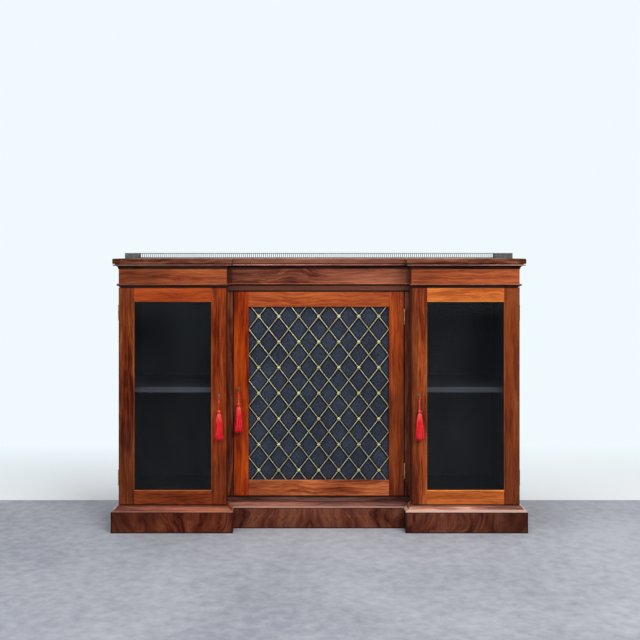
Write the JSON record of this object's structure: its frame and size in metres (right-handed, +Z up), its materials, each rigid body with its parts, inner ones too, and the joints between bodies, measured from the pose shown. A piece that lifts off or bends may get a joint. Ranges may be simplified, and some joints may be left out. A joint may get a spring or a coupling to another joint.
{
  "type": "bookcase cabinet",
  "caption": "Low breakfront bookcase cabinet: glazed wing doors beside a recessed door with a brass diamond grille, shelves, keys with tassels, plinth and pierced brass gallery.",
  "frame": {"origin": "centre of the bounding box at the bottom of the plinth", "axes": "+Z up, +Y from the doors to the back, +X to the right as seen from in front of the doors"},
  "size_m": [1.55, 0.4145, 1.041],
  "materials": {
    "door_wood": "polished rosewood, orange-brown and straight grained",
    "case_wood": "polished rosewood, red-brown",
    "plinth_wood": "polished dark figured rosewood veneer",
    "top_wood": "polished rosewood, red-brown",
    "lining": "dark stained, satin",
    "grille_brass": "aged, satin, pale",
    "brass": "lacquered, satin",
    "silk": "dark blue-grey pleatless cloth, matt",
    "glass": "clear",
    "steel": "dark, worn",
    "tassel": "scarlet silk threads"
  },
  "bodies": {
    "carcass": {"top": "top_wood", "gallery": "brass", "side_left": "case_wood", "side_right": "case_wood", "partition_left": "case_wood", "partition_right": "case_wood", "back_board": "lining", "bottom_boards": "lining", "shelf_left": "lining", "shelf_centre": "lining", "shelf_right": "lining", "shelf_studs": "brass", "frieze_left": "case_wood", "frieze_centre": "case_wood", "frieze_right": "case_wood", "cornice_left": "case_wood", "cornice_centre": "case_wood", "cornice_right": "case_wood", "bead_left": "case_wood", "bead_centre": "case_wood", "bead_right": "case_wood", "plinth_left": "plinth_wood", "plinth_centre": "plinth_wood", "plinth_right": "plinth_wood", "plinth_back": "plinth_wood", "frame_stile_left": "case_wood", "frame_stile_right": "case_wood", "hinge_plates": "brass"},
    "left_door": {"left_door_hinge_stile": "door_wood", "left_door_lock_stile": "door_wood", "left_door_top_rail": "door_wood", "left_door_bottom_rail": "door_wood", "left_door_glass": "glass", "left_door_hinge_leaves": "brass", "left_door_lock": "steel"},
    "left_bolt": {"left_door_bolt": "brass"},
    "left_key": {"left_door_key": "steel"},
    "left_tassel": {"left_door_tassel": "tassel"},
    "right_door": {"right_door_hinge_stile": "door_wood", "right_door_lock_stile": "door_wood", "right_door_top_rail": "door_wood", "right_door_bottom_rail": "door_wood", "right_door_glass": "glass", "right_door_hinge_leaves": "brass", "right_door_lock": "steel"},
    "right_bolt": {"right_door_bolt": "brass"},
    "right_key": {"right_door_key": "steel"},
    "right_tassel": {"right_door_tassel": "tassel"},
    "centre_door": {"centre_door_hinge_stile": "door_wood", "centre_door_lock_stile": "door_wood", "centre_door_top_rail": "door_wood", "centre_door_bottom_rail": "door_wood", "centre_door_grille": "grille_brass", "centre_door_silk": "silk", "centre_door_hinge_leaves": "brass", "centre_door_lock": "steel"},
    "centre_bolt": {"centre_door_bolt": "brass"},
    "centre_key": {"centre_door_key": "steel"},
    "centre_tassel": {"centre_door_tassel": "tassel"}
  },
  "joints": [
    {"name": "left_door_hinge", "type": "hinge", "parent": "carcass", "child": "left_door", "pos_m": [-0.7536, -0.1575, 0.5], "axis": [0, 0, -1], "range_deg": [0, 165]},
    {"name": "right_door_hinge", "type": "hinge", "parent": "carcass", "child": "right_door", "pos_m": [0.7536, -0.1575, 0.5], "axis": [0, 0, 1], "range_deg": [0, 165]},
    {"name": "centre_door_hinge", "type": "hinge", "parent": "carcass", "child": "centre_door", "pos_m": [0.3264, -0.1236, 0.5], "axis": [0, 0, 1], "range_deg": [0, 100]},
    {"name": "left_key_turn", "type": "hinge", "parent": "left_door", "child": "left_key", "pos_m": [-0.374, -0.18, 0.509], "axis": [0, 1, 0], "range_deg": [0, 90]},
    {"name": "left_bolt_slide", "type": "slide", "parent": "left_door", "child": "left_bolt", "axis": [1, 0, 0], "range_m": [0, 0.006]},
    {"name": "left_tassel_swing", "type": "hinge", "parent": "left_key", "child": "left_tassel", "pos_m": [-0.374, -0.1959, 0.5015], "axis": [0, 1, 0], "range_deg": [-90, 0]},
    {"name": "right_key_turn", "type": "hinge", "parent": "right_door", "child": "right_key", "pos_m": [0.374, -0.18, 0.509], "axis": [0, 1, 0], "range_deg": [0, 90]},
    {"name": "right_bolt_slide", "type": "slide", "parent": "right_door", "child": "right_bolt", "axis": [-1, 0, 0], "range_m": [0, 0.006]},
    {"name": "right_tassel_swing", "type": "hinge", "parent": "right_key", "child": "right_tassel", "pos_m": [0.374, -0.1959, 0.5015], "axis": [0, 1, 0], "range_deg": [-90, 0]},
    {"name": "centre_key_turn", "type": "hinge", "parent": "centre_door", "child": "centre_key", "pos_m": [-0.3044, -0.12, 0.525], "axis": [0, 1, 0], "range_deg": [0, 90]},
    {"name": "centre_bolt_slide", "type": "slide", "parent": "centre_door", "child": "centre_bolt", "axis": [-1, 0, 0], "range_m": [0, 0.006]},
    {"name": "centre_tassel_swing", "type": "hinge", "parent": "centre_key", "child": "centre_tassel", "pos_m": [-0.3044, -0.1359, 0.5175], "axis": [0, 1, 0], "range_deg": [-90, 0]}
  ],
  "couplings": [
    {"joint": "left_bolt_slide", "follows": "left_key_turn", "m_per_rad": 0.0038197},
    {"joint": "left_tassel_swing", "follows": "left_key_turn", "ratio": -1},
    {"joint": "right_bolt_slide", "follows": "right_key_turn", "m_per_rad": 0.0038197},
    {"joint": "right_tassel_swing", "follows": "right_key_turn", "ratio": -1},
    {"joint": "centre_bolt_slide", "follows": "centre_key_turn", "m_per_rad": 0.0038197},
    {"joint": "centre_tassel_swing", "follows": "centre_key_turn", "ratio": -1}
  ]
}
